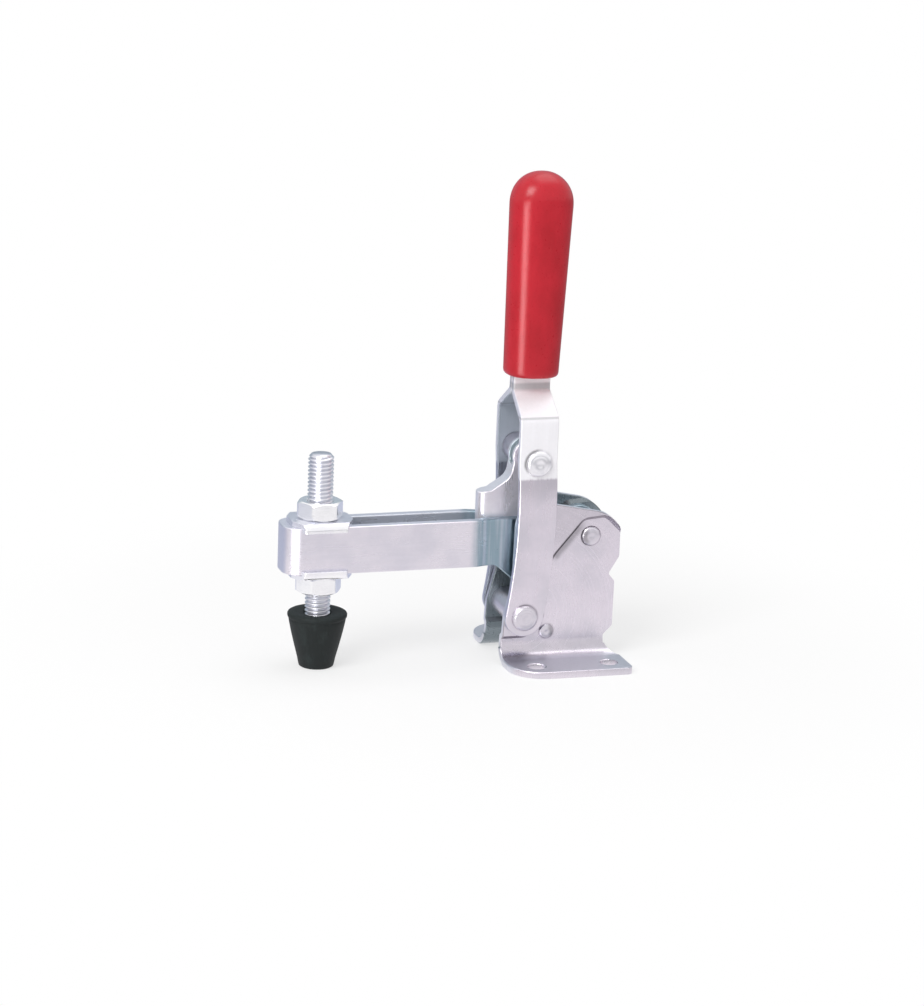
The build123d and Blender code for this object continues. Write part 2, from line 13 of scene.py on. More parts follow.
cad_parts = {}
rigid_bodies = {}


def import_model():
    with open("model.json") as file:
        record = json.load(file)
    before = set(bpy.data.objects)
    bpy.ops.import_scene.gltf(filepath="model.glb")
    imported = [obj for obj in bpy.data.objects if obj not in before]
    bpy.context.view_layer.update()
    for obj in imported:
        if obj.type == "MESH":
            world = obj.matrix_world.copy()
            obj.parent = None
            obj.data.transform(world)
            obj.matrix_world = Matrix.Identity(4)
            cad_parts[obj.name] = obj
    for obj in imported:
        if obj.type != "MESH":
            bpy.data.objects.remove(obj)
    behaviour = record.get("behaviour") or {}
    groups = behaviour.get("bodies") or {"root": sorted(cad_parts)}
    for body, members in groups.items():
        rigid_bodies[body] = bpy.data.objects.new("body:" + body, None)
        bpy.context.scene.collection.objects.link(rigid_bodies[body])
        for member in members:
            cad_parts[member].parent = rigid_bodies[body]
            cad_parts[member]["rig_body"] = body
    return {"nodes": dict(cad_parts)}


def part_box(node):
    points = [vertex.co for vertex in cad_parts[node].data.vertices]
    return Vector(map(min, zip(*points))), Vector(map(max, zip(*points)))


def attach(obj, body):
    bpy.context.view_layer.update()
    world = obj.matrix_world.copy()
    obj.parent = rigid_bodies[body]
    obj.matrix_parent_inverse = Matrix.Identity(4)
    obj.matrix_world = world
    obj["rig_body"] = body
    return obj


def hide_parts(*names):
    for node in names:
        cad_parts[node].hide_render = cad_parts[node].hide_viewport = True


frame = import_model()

MM = 0.001
LOG = logging.getLogger("toggle_clamp")

Colour = Tuple[float, float, float]
Point = Tuple[float, float, float]
Ring = List[Point]
Pair = Tuple[float, float]
Range = Pair
Pivot = Pair


class Slot(Enum):
    """Material slots of the record."""

    SHEET = "zinc_sheet"
    RIVET = "zinc_rivet"
    FASTENER = "zinc_fastener"
    GRIP = "red_grip"
    RUBBER = "black_rubber"


class Axis(Enum):
    """Axes that a turned piece can have, as indices into a point."""

    Y = 1
    Z = 2


class Sock:
    """Output socket of a shader graph that can be used in Python expressions."""

    def __init__(self, graph: "Graph", out: bpy.types.NodeSocket) -> None:
        """Keeps the graph and the socket."""
        self.graph = graph
        self.out = out

    def __add__(self, other: "Value") -> "Sock":
        """Sum."""
        return self.graph.maths("ADD", self, other)

    def __radd__(self, other: "Value") -> "Sock":
        """Sum with a number on the left."""
        return self.graph.maths("ADD", other, self)

    def __sub__(self, other: "Value") -> "Sock":
        """Difference."""
        return self.graph.maths("SUBTRACT", self, other)

    def __rsub__(self, other: "Value") -> "Sock":
        """Difference from a number on the left."""
        return self.graph.maths("SUBTRACT", other, self)

    def __mul__(self, other: "Value") -> "Sock":
        """Product."""
        return self.graph.maths("MULTIPLY", self, other)

    def __rmul__(self, other: "Value") -> "Sock":
        """Product with a number on the left."""
        return self.graph.maths("MULTIPLY", other, self)

    def __truediv__(self, other: "Value") -> "Sock":
        """Quotient."""
        return self.graph.maths("DIVIDE", self, other)

    def __pow__(self, other: "Value") -> "Sock":
        """Power."""
        return self.graph.maths("POWER", self, other)

    def __abs__(self) -> "Sock":
        """Absolute value."""
        return self.graph.maths("ABSOLUTE", self)


Value = Union[Sock, float]
Setting = Union[str, bool, float]
Input = Union[Sock, float, Sequence[float]]


class Graph:
    """Node tree of a material or of the world, with the coordinates that the finishes share."""

    def __init__(self, tree: bpy.types.NodeTree) -> None:
        """Empties the tree.

        Args:
            tree: node tree that is filled from here on.
        """
        self.tree = tree
        tree.nodes.clear()

    def add(
        self,
        kind: str,
        settings: Optional[Dict[str, Setting]] = None,
        inputs: Optional[Dict[str, Input]] = None,
        output: str = "",
    ) -> Sock:
        """Adds one node.

        Args:
            kind: type name of the node.
            settings: properties that are set first.
            inputs: a value or a link for each socket, by its identifier or name.
            output: name or identifier of the output that is wanted, or nothing for the first.

        Returns:
            The wanted output.
        """
        node = self.tree.nodes.new(kind)
        for key, value in (settings or {}).items():
            setattr(node, key, value)
        for key, value in (inputs or {}).items():
            socket = next(s for s in node.inputs if key in (s.identifier, s.name))
            if isinstance(value, Sock):
                self.tree.links.new(value.out, socket)
            else:
                socket.default_value = value
        if not output:
            return Sock(self, node.outputs[0]) if node.outputs else Sock(self, None)
        return Sock(self, next(s for s in node.outputs if output in (s.identifier, s.name)))

    def maths(self, operation: str, *values: Value) -> Sock:
        """Result of a Math node on one to three values."""
        keys = ("Value", "Value_001", "Value_002")
        return self.add("ShaderNodeMath", {"operation": operation}, dict(zip(keys, values)))

    def step(self, value: Value, low: float, high: float) -> Sock:
        """Smooth change from 0 to 1.

        Args:
            value: what the change depends on.
            low: value at which the result is 0.
            high: value at which the result is 1.

        Returns:
            The result, between 0 and 1.
        """
        return self.add(
            "ShaderNodeMapRange",
            {"interpolation_type": "SMOOTHSTEP"},
            {"Value": value, "From Min": low, "From Max": high},
        )

    def mix(self, factor: Value, first: Input, second: Input) -> Sock:
        """Blend of two colours, with the factor as the share of the second."""
        inputs = {"Factor_Float": factor, "A_Color": rgba(first), "B_Color": rgba(second)}
        return self.add("ShaderNodeMix", {"data_type": "RGBA"}, inputs, "Result_Color")

    def shade(self, colour: Input, strength: Value) -> Sock:
        """Colour, or vector, multiplied by a strength."""
        inputs = {"Vector": colour, "Scale": strength}
        return self.add("ShaderNodeVectorMath", {"operation": "SCALE"}, inputs, "Vector")

    def place(self) -> Sock:
        """Place on the clamp at rest, in millimetres."""
        metres = self.add("ShaderNodeTexCoord", output="Object")
        return self.shade(metres, 1 / MM)

    def parts_of(self, vector: Sock) -> Tuple[Sock, Sock, Sock]:
        """Three numbers of a vector.

        Args:
            vector: the vector.

        Returns:
            Its X, Y and Z.
        """
        split = self.add("ShaderNodeSeparateXYZ", inputs={"Vector": vector}, output="X")
        node = split.out.node
        return split, Sock(self, node.outputs["Y"]), Sock(self, node.outputs["Z"])

    def vector(self, x: Value, y: Value, z: Value) -> Sock:
        """Vector made of three numbers."""
        return self.add("ShaderNodeCombineXYZ", inputs={"X": x, "Y": y, "Z": z})

    def noise(self, where: Sock, scale: Point, detail: float = 3.0, rough: float = 0.55) -> Sock:
        """Noise stretched along the axes.

        Args:
            where: place in millimetres.
            scale: features per millimetre along X, Y and Z.
            detail: number of finer layers.
            rough: strength of the finer layers.

        Returns:
            Noise about 0.5.
        """
        stretched = self.add(
            "ShaderNodeVectorMath",
            {"operation": "MULTIPLY"},
            {"Vector": where, "Vector_001": scale},
            "Vector",
        )
        inputs = {"Vector": stretched, "Scale": 1.0, "Detail": detail, "Roughness": rough}
        return self.add("ShaderNodeTexNoise", {"noise_dimensions": "3D"}, inputs)

    def from_pivot(self, x: Sock, z: Sock, pivot: Pivot) -> Sock:
        """Distance of X and Z from a pivot in the side view, in millimetres."""
        across, up = x - pivot[0], z - pivot[1]
        return (across * across + up * up) ** 0.5

    def toward(self, x: Sock, z: Sock, pivot: Pivot, degrees: float, reach: Sock) -> Sock:
        """Share of a ring round a pivot that lies on one side.

        Args:
            x: X in millimetres.
            z: Z in millimetres.
            pivot: X and Z of the pivot.
            degrees: direction of the side, from +X up towards +Z.
            reach: distance from the pivot.

        Returns:
            1 on that side, and 0 on the other.
        """
        turn = math.radians(degrees)
        along = (x - pivot[0]) * math.cos(turn) + (z - pivot[1]) * math.sin(turn)
        return self.step(along / reach, 0.1, 0.9)

    def bump(self, height: Sock, depth: float, strength: float = 1.0) -> Sock:
        """Normal of a relief between 0 and 1 that is really this many millimetres high."""
        inputs = {"Height": height, "Distance": depth * MM, "Strength": strength}
        return self.add("ShaderNodeBump", inputs=inputs)


def rgba(colour: Input) -> Input:
    """Colour with an alpha of 1, or the link as it is."""
    return colour if isinstance(colour, (Sock, float)) else (*colour, 1.0)


def new_material(name: str) -> Tuple[bpy.types.Material, Graph]:
    """Makes an empty material.

    Args:
        name: name of the material.

    Returns:
        The material and its graph.
    """
    material = bpy.data.materials.new(name)
    material.use_nodes = True
    return material, Graph(material.node_tree)


def finish_material(graph: Graph, inputs: Dict[str, Input]) -> None:
    """Adds the Principled shader, with what its sockets get, and the output of a material."""
    shader = graph.add("ShaderNodeBsdfPrincipled", inputs=inputs)
    graph.add("ShaderNodeOutputMaterial", inputs={"Surface": shader})


class BendShade(NamedTuple):
    """Painted shade line across a strip, along a bend."""

    height: float
    half: float
    depth: float


class DirtAndShade(NamedTuple):
    """Dirt and painted shade round a rivet, heavier on the side that the angle points at."""

    pivot: Pivot
    radius: float
    degrees: float
    strength: float


class SideShade(NamedTuple):
    """Painted shade on one side of a turned piece, from a distance to its axis outwards."""

    degrees: float
    start: float
    strength: float


@dataclass
class Patch:
    """Any place of a sheet: where it lies, its noises, and its look so far."""

    graph: Graph
    place: Sock
    x: Sock
    y: Sock
    z: Sock
    across: Sock
    inner: Sock
    streaks: Sock
    clouds: Sock
    spangle: Sock
    sheared: Sock
    colour: Sock
    level: Sock
    rough: Sock
    metal: Sock

    def darken(self, amount: Sock) -> None:
        """Takes an amount off the brightness of the rolled faces."""
        self.level = self.level - amount * (1.0 - self.sheared)


@dataclass(frozen=True)
class RolledZinc:
    """Bright zinc plating on rolled and sheared sheet, with all lengths in millimetres."""

    name: str
    face: Colour = (0.78, 0.725, 0.79)
    cloud: Colour = (0.70, 0.665, 0.725)
    edge: Colour = (0.78, 0.78, 0.85)
    # Painted shade colour of the faces towards the middle and of the part inside the base plates.
    inner_shade: Colour = (0.30, 0.40, 0.44)
    # Colour of the painted highlight on the upper part.
    painted_sheen: Colour = (0.93, 0.915, 0.95)
    grain: Point = (0.06, 0.06, 2.6)
    roughness: float = 0.24
    metallic: float = 1.0
    # Share of the painted shade on the faces towards the middle.
    inner_shade_share: float = 0.8
    inner_dulling: float = 0.45
    # X range where the painted shade inside the base plates begins.
    shaded_x: Optional[Range] = None
    swing_pivot: Optional[Pivot] = None
    swing_reach: Range = (6.0, 12.0)
    # Dirt and painted shade round rivets.
    dirt_and_shade: Tuple[DirtAndShade, ...] = ()
    dirt_and_shade_ground: float = 0.10
    # Painted shade along bends.
    bend_shades: Tuple[BendShade, ...] = ()
    flank_shade: float = 0.0
    flank_foot: Range = (7.4, 8.4)
    shade_line: Optional[Tuple[Pivot, Pivot]] = None
    shade_depth: float = 0.42
    raised_depth: Optional[Range] = None
    raised_height: Range = (34.0, 42.0)
    raised_shade: float = 0.11
    # Height range of the painted highlight; a band of painted shade lies below it.
    sheen_z: Optional[Range] = None
    shade_below_drop: Range = (9.0, 1.0)

    def material(self) -> bpy.types.Material:
        """Makes the finish.

        Returns:
            The material.
        """
        material, graph = new_material(self.name)
        patch = self.plain(graph)
        fine = graph.noise(patch.place, tuple(4 * g for g in self.grain), detail=2.0)
        tears = graph.noise(patch.place, (3.2, 0.25, 3.2), detail=3.0)
        # The upper highlight, the shade on bends, flank and raised band, the shade round rivets and the inner shade
        # are painted into the colour.
        self.paint_top_sheen(patch)
        self.paint_form_shade(patch)
        patch.colour = graph.mix(patch.sheared, patch.colour, self.edge)
        self.wear_and_rivet_shade(patch)
        self.paint_inner_shade(patch)
        relief = 0.55 * patch.streaks + 0.25 * fine + 0.2 * patch.spangle + 0.5 * tears * patch.sheared
        finish_material(
            graph,
            {
                "Base Color": graph.shade(patch.colour, patch.level),
                "Metallic": patch.metal,
                "Roughness": patch.rough + 0.10 * patch.sheared,
                "Normal": graph.bump(relief, 0.035, 0.6),
            },
        )
        return material

    def plain(self, graph: Graph) -> Patch:
        """Look of a clean flat face.

        Args:
            graph: graph of the material.

        Returns:
            The patch that the other methods change.
        """
        place = graph.place()
        x, y, z = graph.parts_of(place)
        across = graph.parts_of(graph.add("ShaderNodeTexCoord", output="Normal"))[1]
        inner = 1.0 - graph.step(y * across, -1.5, 0.5)
        streaks = graph.noise(place, self.grain, detail=4.0, rough=0.6)
        clouds = graph.noise(place, (0.09, 0.09, 0.09), detail=4.0)
        spangle = graph.noise(place, (0.9, 0.9, 0.9), detail=2.0)
        return Patch(
            graph, place, x, y, z, across, inner, streaks, clouds, spangle,
            sheared=1.0 - graph.step(abs(across), 0.25, 0.55),
            colour=graph.mix(graph.step(clouds, 0.35, 0.7), self.face, self.cloud),
            level=0.93 + 0.12 * streaks + 0.05 * spangle,
            rough=self.roughness + 0.16 * streaks + 0.10 * clouds - 0.08,
            metal=self.metallic * (1.0 - self.inner_dulling * inner),
        )

    def paint_top_sheen(self, patch: Patch) -> None:
        """Paints a white, matt highlight on the upper part, with a band of painted shade under it."""
        if not self.sheen_z:
            return
        graph, start = patch.graph, self.sheen_z[0]
        edge_z = patch.z + 1.2 * (patch.streaks - 0.5)
        # Painted highlight: white and matt above this height.
        sheen = graph.step(edge_z, *self.sheen_z)
        patch.colour = graph.mix(sheen, patch.colour, self.painted_sheen)
        patch.metal = patch.metal * (1.0 - 0.9 * sheen)
        patch.rough = patch.rough + 0.15 * sheen
        # Painted shade in a band below the highlight.
        shade_below = graph.step(edge_z, *(start - drop for drop in self.shade_below_drop))
        patch.level = patch.level - 0.13 * shade_below * (1.0 - sheen)

    def paint_form_shade(self, patch: Patch) -> None:
        """Paints shade along the bends, on the swell's flank and on the raised band."""
        graph = patch.graph
        # Painted shade along the bends.
        for bend_shade in self.bend_shades:
            from_bend = abs(patch.z - bend_shade.height)
            in_bend_shade = 1.0 - graph.step(from_bend, 0.3 * bend_shade.half, bend_shade.half)
            patch.level = patch.level - bend_shade.depth * in_bend_shade
        if self.flank_shade:
            sloping = 1.0 - graph.step(abs(patch.across), 0.78, 0.95)
            patch.darken(self.flank_shade * sloping * graph.step(patch.z, *self.flank_foot))
        if self.shade_line:
            patch.darken(self.shade_depth * self.beside_line(patch, *self.shade_line))
        if self.raised_depth:
            raised = graph.step(abs(patch.y), *self.raised_depth) * graph.step(patch.z, *self.raised_height)
            patch.darken(self.raised_shade * raised)

    @staticmethod
    def beside_line(patch: Patch, start: Pivot, end: Pivot) -> Sock:
        """Soft band along a straight line in the side view.

        Args:
            patch: the place on the sheet.
            start: X and Z of the line's start.
            end: X and Z of the line's end.

        Returns:
            1 on the line, and 0 away from it.
        """
        length = math.dist(start, end)
        dx, dz = (end[0] - start[0]) / length, (end[1] - start[1]) / length
        x, z = patch.x - start[0], patch.z - start[1]
        along, aside = x * dx + z * dz, x * dz - z * dx
        step = patch.graph.step
        band = step(aside, -1.7, -0.3) * (1.0 - step(aside, 0.6, 2.4))
        return band * step(along, -1.0, 1.5) * (1.0 - step(along, length - 4.0, length + 1.0))

    def wear_and_rivet_shade(self, patch: Patch) -> None:
        """Adds the wear marks of the swinging strip, and dirt with painted shade round the rivets."""
        graph = patch.graph
        if self.swing_pivot:
            reach = graph.from_pivot(patch.x, patch.z, self.swing_pivot)
            rings = graph.noise(graph.vector(reach, 0.0, 0.0), (1.9, 1.0, 1.0), detail=5.0, rough=0.7)
            swept = graph.step(reach, *self.swing_reach) * (1.0 - patch.sheared)
            rubbed = graph.step(rings, 0.52, 0.66) * swept
            patch.level = patch.level + 0.10 * rubbed
            patch.rough = patch.rough - 0.09 * rubbed
        # Dirt and painted shade round each rivet, heavier on one side.
        for dirt_and_shade in self.dirt_and_shade:
            reach = graph.from_pivot(patch.x, patch.z, dirt_and_shade.pivot)
            rim = reach + 1.0 * (patch.clouds - 0.5)
            dirt_and_shade_ring = 1.0 - graph.step(rim, dirt_and_shade.radius, dirt_and_shade.radius + 0.9)
            side = graph.toward(patch.x, patch.z, dirt_and_shade.pivot, dirt_and_shade.degrees, reach)
            patch.darken((self.dirt_and_shade_ground + dirt_and_shade.strength * side) * dirt_and_shade_ring)

    def paint_inner_shade(self, patch: Patch) -> None:
        """Paints shade on the faces towards the middle, and on the part that runs inside the base plates."""
        graph = patch.graph
        if self.shaded_x:
            # Painted shade, in stripes, on the part inside the base plates.
            inside = graph.step(patch.x + 2.0 * (patch.clouds - 0.5), *self.shaded_x)
            stripes = graph.step(graph.noise(patch.place, (0.55, 0.55, 0.02), detail=3.0), 0.4, 0.65)
            patch.colour = graph.mix(inside * (1.0 - 0.4 * stripes), patch.colour, self.inner_shade)
        # Painted shade on the faces towards the middle.
        patch.colour = graph.mix(self.inner_shade_share * patch.inner, patch.colour, self.inner_shade)


@dataclass(frozen=True)
class TurnedZinc:
    """Bright plating on a turned, headed or threaded piece."""

    name: str
    axis: Axis
    centre: Pivot
    face: Colour = (0.74, 0.70, 0.755)
    # Colour of the random stains, and of the painted shade in the thread's roots.
    stain_and_root_shade: Colour = (0.58, 0.60, 0.67)
    roughness: float = 0.2
    rings_per_mm: float = 2.4
    root_radius: float = 0.0
    stain: float = 0.3
    # Painted shade on one side of the piece.
    side_shade: Optional[SideShade] = None

    def material(self) -> bpy.types.Material:
        """Makes the finish.

        Returns:
            The material.
        """
        material, graph = new_material(self.name)
        place = graph.place()
        x, y, z = graph.parts_of(place)
        up = z if self.axis is Axis.Y else y
        reach = graph.from_pivot(x, up, self.centre)
        along = y if self.axis is Axis.Y else z
        turning = graph.vector(reach, along, 0.0)
        rings = graph.noise(turning, (self.rings_per_mm,) * 3, detail=3.0, rough=0.7)
        clouds = graph.noise(place, (0.35, 0.35, 0.35), detail=4.0)
        pits = graph.noise(place, (2.5, 2.5, 2.5), detail=2.0)
        colour = graph.mix(self.stain * graph.step(clouds, 0.45, 0.75), self.face, self.stain_and_root_shade)
        # Painted shade in the thread's roots.
        if self.root_radius:
            deep = 1.0 - graph.step(reach, self.root_radius, self.root_radius + 0.45)
            colour = graph.mix(0.4 * deep, colour, self.stain_and_root_shade)
        level = 0.92 + 0.16 * rings
        # Painted shade on one side of the piece.
        if self.side_shade:
            side_shade = self.side_shade
            side = graph.toward(x, up, self.centre, side_shade.degrees, reach)
            level = level - side_shade.strength * side * graph.step(reach, side_shade.start, side_shade.start + 1.0)
        finish_material(
            graph,
            {
                "Base Color": graph.shade(colour, level),
                "Metallic": 1.0,
                "Roughness": self.roughness + 0.14 * clouds + 0.08 * rings,
                "Normal": graph.bump(0.7 * rings + 0.3 * pits, 0.03, 0.5),
            },
        )
        return material


@dataclass(frozen=True)
class Vinyl:
    """Soft red vinyl of the grip, satin, with a faint leathery skin and rubbed places."""

    name: str = "red_vinyl"
    body: Colour = (0.56, 0.012, 0.026)
    deep: Colour = (0.46, 0.008, 0.018)
    bloom: Colour = (0.66, 0.045, 0.060)
    roughness: float = 0.24

    def material(self) -> bpy.types.Material:
        """Makes the finish.

        Returns:
            The material.
        """
        material, graph = new_material(self.name)
        place = graph.place()
        mottle = graph.noise(place, (0.10, 0.10, 0.06), detail=5.0)
        skin = graph.noise(place, (1.5, 1.5, 1.1), detail=4.0, rough=0.6)
        pores = graph.noise(place, (5.0, 5.0, 5.0), detail=1.0)
        scuffs = graph.noise(place, (0.9, 0.9, 0.12), detail=5.0, rough=0.75)
        colour = graph.mix(graph.step(mottle, 0.35, 0.7), self.body, self.deep)
        rubbed = graph.step(scuffs, 0.60, 0.75)
        colour = graph.mix(0.28 * rubbed, colour, self.bloom)
        finish_material(
            graph,
            {
                "Base Color": graph.shade(colour, 0.94 + 0.12 * skin),
                "Roughness": self.roughness + 0.10 * skin + 0.10 * rubbed,
                "Normal": graph.bump(0.85 * skin + 0.15 * pores, 0.05, 0.35),
                "Specular IOR Level": 0.45,
            },
        )
        return material


@dataclass(frozen=True)
class Rubber:
    """Moulded black rubber, dusty where it is handled."""

    name: str = "black_rubber"
    body: Colour = (0.012, 0.016, 0.016)
    dust: Colour = (0.034, 0.046, 0.046)
    roughness: float = 0.56
    centre: Pivot = (-78.0, 0.0)

    def material(self) -> bpy.types.Material:
        """Makes the finish.

        Returns:
            The material.
        """
        material, graph = new_material(self.name)
        place = graph.place()
        x, y, z = graph.parts_of(place)
        normal = graph.add("ShaderNodeTexCoord", output="Normal")
        facing_up = graph.step(graph.parts_of(normal)[2], 0.4, 0.95)
        skin = graph.noise(place, (1.8, 1.8, 1.8), detail=4.0)
        smears = graph.noise(place, (0.25, 0.25, 0.10), detail=5.0, rough=0.7)
        dusty = graph.step(smears, 0.48, 0.72) * 0.4 + 0.25 * facing_up
        turned = graph.noise(graph.vector(graph.from_pivot(x, y, self.centre), z, 0.0), (1.6, 1.6, 1.0))
        finish_material(
            graph,
            {
                "Base Color": graph.mix(dusty, self.body, self.dust),
                "Roughness": self.roughness + 0.18 * smears + 0.08 * facing_up,
                "Normal": graph.bump(0.6 * skin + 0.4 * turned, 0.08, 0.5),
                "Specular IOR Level": 0.3,
            },
        )
        return material


class Piece:
    """Visible piece that rides on the body of the CAD node that it stands for."""

    def __init__(self, name: str, mesh: bpy.types.Mesh) -> None:
        """Links an object with this mesh.

        Args:
            name: name of the object.
            mesh: its mesh, in metres, in the frame of the clamp.
        """
        self.shape = bpy.data.objects.new(name, mesh)
        bpy.context.scene.collection.objects.link(self.shape)

    def dress(self, material: bpy.types.Material, slot: Slot, *nodes: str) -> bpy.types.Object:
        """Gives the piece its finish and its place in the clamp.

        Args:
            material: its finish.
            slot: material slot of the record; not used.
            nodes: CAD nodes that it replaces; it rides on the body of the first.

        Returns:
            The object.
        """
        self.shape.data.materials.clear()
        self.shape.data.materials.append(material)
        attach(self.shape, frame["nodes"][nodes[0]]["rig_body"])
        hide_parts(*nodes)
        LOG.info("%s stands for %s", self.shape.name, ", ".join(nodes))
        return self.shape


def skin(name: str, rings: Sequence[Ring], tube: bool = False, split: float = 40.0) -> Piece:
    """Skins a row of rings.

    Args:
        name: name of the piece.
        rings: rings of the same number of points, in millimetres.
        tube: whether the last ring joins the first; otherwise both ends are closed flat.
        split: angle in degrees over which an edge stays sharp.

    Returns:
        The piece.
    """
    count = len(rings[0])
    vertices = [tuple(MM * c for c in point) for ring in rings for point in ring]
    faces = []
    for row in range(len(rings) if tube else len(rings) - 1):
        here, there = row * count, (row + 1) % len(rings) * count
        for k in range(count):
            following = (k + 1) % count
            faces.append((here + k, here + following, there + following, there + k))
    if not tube:
        faces.append(tuple(reversed(range(count))))
        faces.append(tuple(range((len(rings) - 1) * count, len(rings) * count)))
    mesh = bpy.data.meshes.new(name)
    mesh.from_pydata(vertices, [], faces)
    tidy = bmesh.new()
    tidy.from_mesh(mesh)
    bmesh.ops.recalc_face_normals(tidy, faces=tidy.faces)
    tidy.to_mesh(mesh)
    tidy.free()
    smooth_faces(mesh, split)
    return Piece(name, mesh)


def smooth_faces(mesh: bpy.types.Mesh, split: float) -> None:
    """Shades a mesh smooth, apart from edges over the angle in degrees."""
    mesh.shade_smooth()
    mesh.set_sharp_from_angle(angle=math.radians(split))


def turned(profile: Sequence[Pair], axis: Axis, centre: Point, count: int) -> List[Ring]:
    """Rings of a turned piece.

    Args:
        profile: (radius, distance along the axis) pairs in millimetres.
        axis: axis of the piece.
        centre: point of the axis that the distances start from.
        count: number of points of a ring.

    Returns:
        One ring for each pair.
    """
    rings = []
    for radius, along in profile:
        ring = []
        for k in range(count):
            angle = 2 * math.pi * k / count
            a, b = radius * math.cos(angle), radius * math.sin(angle)
            point = (a, along, b) if axis is Axis.Y else (a, b, along)
            ring.append(tuple(c + d for c, d in zip(centre, point)))
        rings.append(ring)
    return rings


def box_mm(node: str) -> Tuple[Vector, Vector]:
    """Lowest and highest corner of a CAD node, in millimetres."""
    low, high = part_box(node)
    return low / MM, high / MM


@dataclass
class SheetPiece:
    """Sheet or bar part: the CAD form with the small rounds of its sheared edges."""

    node: str
    round_over: float = 0.3
    segments: int = 2
    corner_angles: Range = (38.0, 180.0)
    weld: float = 0.05
    flat_angle: float = 0.05
    split: float = 32.0
    thin_depth: float = 1e3
    thin_front: float = 1e3
    cut_below: float = 0.0
    cut_above: float = 0.0

    def build(self) -> Piece:
        """Makes the rounded form.

        Returns:
            The piece.
        """
        mesh = frame["nodes"][self.node].data.copy()
        mesh.name = f"{self.node}_form"
        work = bmesh.new()
        work.from_mesh(mesh)
        self.cut_lips(work)
        bmesh.ops.remove_doubles(work, verts=work.verts, dist=self.weld * MM)
        flat = math.radians(self.flat_angle)
        bmesh.ops.dissolve_limit(work, angle_limit=flat, verts=work.verts, edges=work.edges)
        self.mark_corners(work)
        work.to_mesh(mesh)
        work.free()
        mesh.attributes.remove(mesh.attributes["custom_normal"])
        piece = Piece(f"{self.node}_shown", mesh)
        self.round_edges(piece.shape)
        return piece

    def mark_corners(self, work: bmesh.types.BMesh) -> None:
        """Marks the edges that get a small round, and those that only stay sharp.

        Args:
            work: mesh whose edges are marked.
        """
        layer = work.edges.layers.float.new("bevel_weight_edge")
        low, high = (math.radians(angle) for angle in self.corner_angles)
        for face in work.faces:
            face.smooth = True
        for edge in work.edges:
            angle = edge.calc_face_angle(0.0)
            edge.smooth = angle < math.radians(self.split)
            middle = (edge.verts[0].co + edge.verts[1].co) / (2 * MM)
            thin = abs(middle.y) > self.thin_depth and middle.x > self.thin_front
            if low < angle < high and not thin:
                edge[layer] = 1.0

    def cut_lips(self, work: bmesh.types.BMesh) -> None:
        """Shortens lips that reach down to the foot, or up to the top, of the part.

        Args:
            work: mesh that is changed.
        """
        heights = [v.co.z for v in work.verts]
        low, high = min(heights) + self.cut_below * MM, max(heights) - self.cut_above * MM
        for vertex in work.verts:
            vertex.co.z = min(high, max(low, vertex.co.z))

    def round_edges(self, shape: bpy.types.Object) -> None:
        """Rounds the edges and keeps the flats flat.

        Args:
            shape: object that is rounded.
        """
        bevel = shape.modifiers.new("sheared_edges", "BEVEL")
        bevel.width = self.round_over * MM
        bevel.segments = self.segments
        bevel.limit_method = "WEIGHT"
        bevel.use_clamp_overlap = False
        bevel.miter_outer = "MITER_ARC"
        flat = shape.modifiers.new("flat_faces", "WEIGHTED_NORMAL")
        flat.keep_sharp = True
        flat.weight = 80


